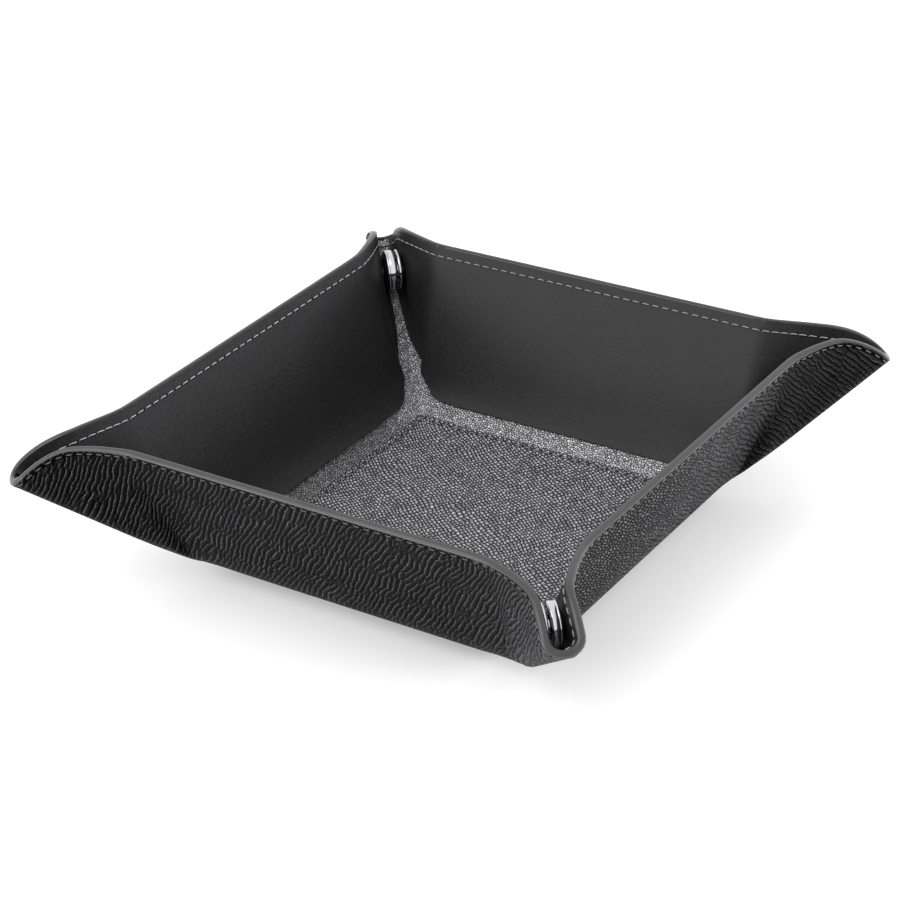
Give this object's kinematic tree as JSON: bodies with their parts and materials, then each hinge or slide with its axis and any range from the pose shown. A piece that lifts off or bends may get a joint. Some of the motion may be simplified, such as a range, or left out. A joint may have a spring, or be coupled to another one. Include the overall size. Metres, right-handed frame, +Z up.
{
  "type": "fold-flat leather valet tray",
  "caption": "Square black leather desk tray folded up from one sheet: leaning walls, pinched corners held by press studs, smooth inner panels and a stitched base panel; unfolds flat.",
  "frame": {"origin": "on the surface the tray stands on, under the middle of the base", "axes": "+Z up; the four walls face +X (right), +Y (back), -X (left) and -Y (front)"},
  "size_m": [0.1716, 0.1716, 0.0465],
  "materials": {
    "grained_leather": "black grained leather, satin",
    "grained_lining": "dark grey fine-grained lining, matt",
    "smooth_leather": "smooth black leather, semi-matt",
    "thread": "grey sewing thread",
    "chromed_metal": "bright chrome plate",
    "rivet_steel": "plain steel"
  },
  "bodies": {
    "base": {"outer_leather_base": "grained_leather", "lining_base": "grained_lining", "base_panel": "grained_leather", "base_panel_thread": "thread"},
    "right_wall": {"outer_leather_right_wall": "grained_leather", "lining_right_wall": "grained_lining", "wall_panel_right": "smooth_leather", "rim_thread_right": "thread"},
    "back_wall": {"outer_leather_back_wall": "grained_leather", "lining_back_wall": "grained_lining", "wall_panel_back": "smooth_leather", "rim_thread_back": "thread"},
    "left_wall": {"outer_leather_left_wall": "grained_leather", "lining_left_wall": "grained_lining", "wall_panel_left": "smooth_leather", "rim_thread_left": "thread"},
    "front_wall": {"outer_leather_front_wall": "grained_leather", "lining_front_wall": "grained_lining", "wall_panel_front": "smooth_leather", "rim_thread_front": "thread"},
    "right_wall_back_wing": {"outer_leather_right_wall_back_wing": "grained_leather", "lining_right_wall_back_wing": "grained_lining", "wing_panel_right_wall_back": "smooth_leather", "snap_socket_back_right": "chromed_metal", "snap_socket_rivet_back_right": "rivet_steel"},
    "right_wall_front_wing": {"outer_leather_right_wall_front_wing": "grained_leather", "lining_right_wall_front_wing": "grained_lining", "wing_panel_right_wall_front": "smooth_leather", "snap_socket_front_right": "chromed_metal", "snap_socket_rivet_front_right": "rivet_steel"},
    "back_wall_left_wing": {"outer_leather_back_wall_left_wing": "grained_leather", "lining_back_wall_left_wing": "grained_lining", "wing_panel_back_wall_left": "smooth_leather", "snap_stud_back_left": "chromed_metal", "snap_stud_rivet_back_left": "rivet_steel"},
    "back_wall_right_wing": {"outer_leather_back_wall_right_wing": "grained_leather", "lining_back_wall_right_wing": "grained_lining", "wing_panel_back_wall_right": "smooth_leather", "snap_stud_back_right": "chromed_metal", "snap_stud_rivet_back_right": "rivet_steel"},
    "left_wall_front_wing": {"outer_leather_left_wall_front_wing": "grained_leather", "lining_left_wall_front_wing": "grained_lining", "wing_panel_left_wall_front": "smooth_leather", "snap_socket_front_left": "chromed_metal", "snap_socket_rivet_front_left": "rivet_steel"},
    "left_wall_back_wing": {"outer_leather_left_wall_back_wing": "grained_leather", "lining_left_wall_back_wing": "grained_lining", "wing_panel_left_wall_back": "smooth_leather", "snap_socket_back_left": "chromed_metal", "snap_socket_rivet_back_left": "rivet_steel"},
    "front_wall_right_wing": {"outer_leather_front_wall_right_wing": "grained_leather", "lining_front_wall_right_wing": "grained_lining", "wing_panel_front_wall_right": "smooth_leather", "snap_stud_front_right": "chromed_metal", "snap_stud_rivet_front_right": "rivet_steel"},
    "front_wall_left_wing": {"outer_leather_front_wall_left_wing": "grained_leather", "lining_front_wall_left_wing": "grained_lining", "wing_panel_front_wall_left": "smooth_leather", "snap_stud_front_left": "chromed_metal", "snap_stud_rivet_front_left": "rivet_steel"}
  },
  "joints": [
    {"name": "right_wall_fold", "type": "hinge", "parent": "base", "child": "right_wall", "pos_m": [0.051, 0, 0.001], "axis": [0, 1, 0], "range_deg": [0, 66.6]},
    {"name": "back_wall_fold", "type": "hinge", "parent": "base", "child": "back_wall", "pos_m": [0, 0.051, 0.001], "axis": [-1, 0, 0], "range_deg": [0, 66.6]},
    {"name": "left_wall_fold", "type": "hinge", "parent": "base", "child": "left_wall", "pos_m": [-0.051, 0, 0.001], "axis": [0, -1, 0], "range_deg": [0, 66.6]},
    {"name": "front_wall_fold", "type": "hinge", "parent": "base", "child": "front_wall", "pos_m": [0, -0.051, 0.001], "axis": [1, 0, 0], "range_deg": [0, 66.6]},
    {"name": "right_wall_back_wing_fold", "type": "hinge", "parent": "right_wall", "child": "right_wall_back_wing", "pos_m": [0.05931, 0.05634, 0.0255], "axis": [0.3691, 0.3691, 0.853], "range_deg": [0, 49.55]},
    {"name": "right_wall_front_wing_fold", "type": "hinge", "parent": "right_wall", "child": "right_wall_front_wing", "pos_m": [0.05931, -0.05634, 0.0255], "axis": [-0.3691, 0.3691, -0.853], "range_deg": [0, 49.55]},
    {"name": "back_wall_left_wing_fold", "type": "hinge", "parent": "back_wall", "child": "back_wall_left_wing", "pos_m": [-0.05634, 0.05931, 0.0255], "axis": [-0.3691, 0.3691, 0.853], "range_deg": [0, 49.55]},
    {"name": "back_wall_right_wing_fold", "type": "hinge", "parent": "back_wall", "child": "back_wall_right_wing", "pos_m": [0.05634, 0.05931, 0.0255], "axis": [-0.3691, -0.3691, -0.853], "range_deg": [0, 49.55]},
    {"name": "left_wall_front_wing_fold", "type": "hinge", "parent": "left_wall", "child": "left_wall_front_wing", "pos_m": [-0.05931, -0.05634, 0.0255], "axis": [-0.3691, -0.3691, 0.853], "range_deg": [0, 49.55]},
    {"name": "left_wall_back_wing_fold", "type": "hinge", "parent": "left_wall", "child": "left_wall_back_wing", "pos_m": [-0.05931, 0.05634, 0.0255], "axis": [0.3691, -0.3691, -0.853], "range_deg": [0, 49.55]},
    {"name": "front_wall_right_wing_fold", "type": "hinge", "parent": "front_wall", "child": "front_wall_right_wing", "pos_m": [0.05634, -0.05931, 0.0255], "axis": [0.3691, -0.3691, 0.853], "range_deg": [0, 49.55]},
    {"name": "front_wall_left_wing_fold", "type": "hinge", "parent": "front_wall", "child": "front_wall_left_wing", "pos_m": [-0.05634, -0.05931, 0.0255], "axis": [0.3691, 0.3691, -0.853], "range_deg": [0, 49.55]}
  ],
  "couplings": [
    {"joint": "back_wall_fold", "follows": "right_wall_fold", "ratio": 1},
    {"joint": "left_wall_fold", "follows": "right_wall_fold", "ratio": 1},
    {"joint": "front_wall_fold", "follows": "right_wall_fold", "ratio": 1},
    {"joint": "right_wall_back_wing_fold", "follows": "right_wall_fold", "ratio": 0.74381},
    {"joint": "right_wall_front_wing_fold", "follows": "right_wall_fold", "ratio": 0.74381},
    {"joint": "back_wall_left_wing_fold", "follows": "right_wall_fold", "ratio": 0.74381},
    {"joint": "back_wall_right_wing_fold", "follows": "right_wall_fold", "ratio": 0.74381},
    {"joint": "left_wall_front_wing_fold", "follows": "right_wall_fold", "ratio": 0.74381},
    {"joint": "left_wall_back_wing_fold", "follows": "right_wall_fold", "ratio": 0.74381},
    {"joint": "front_wall_right_wing_fold", "follows": "right_wall_fold", "ratio": 0.74381},
    {"joint": "front_wall_left_wing_fold", "follows": "right_wall_fold", "ratio": 0.74381}
  ]
}
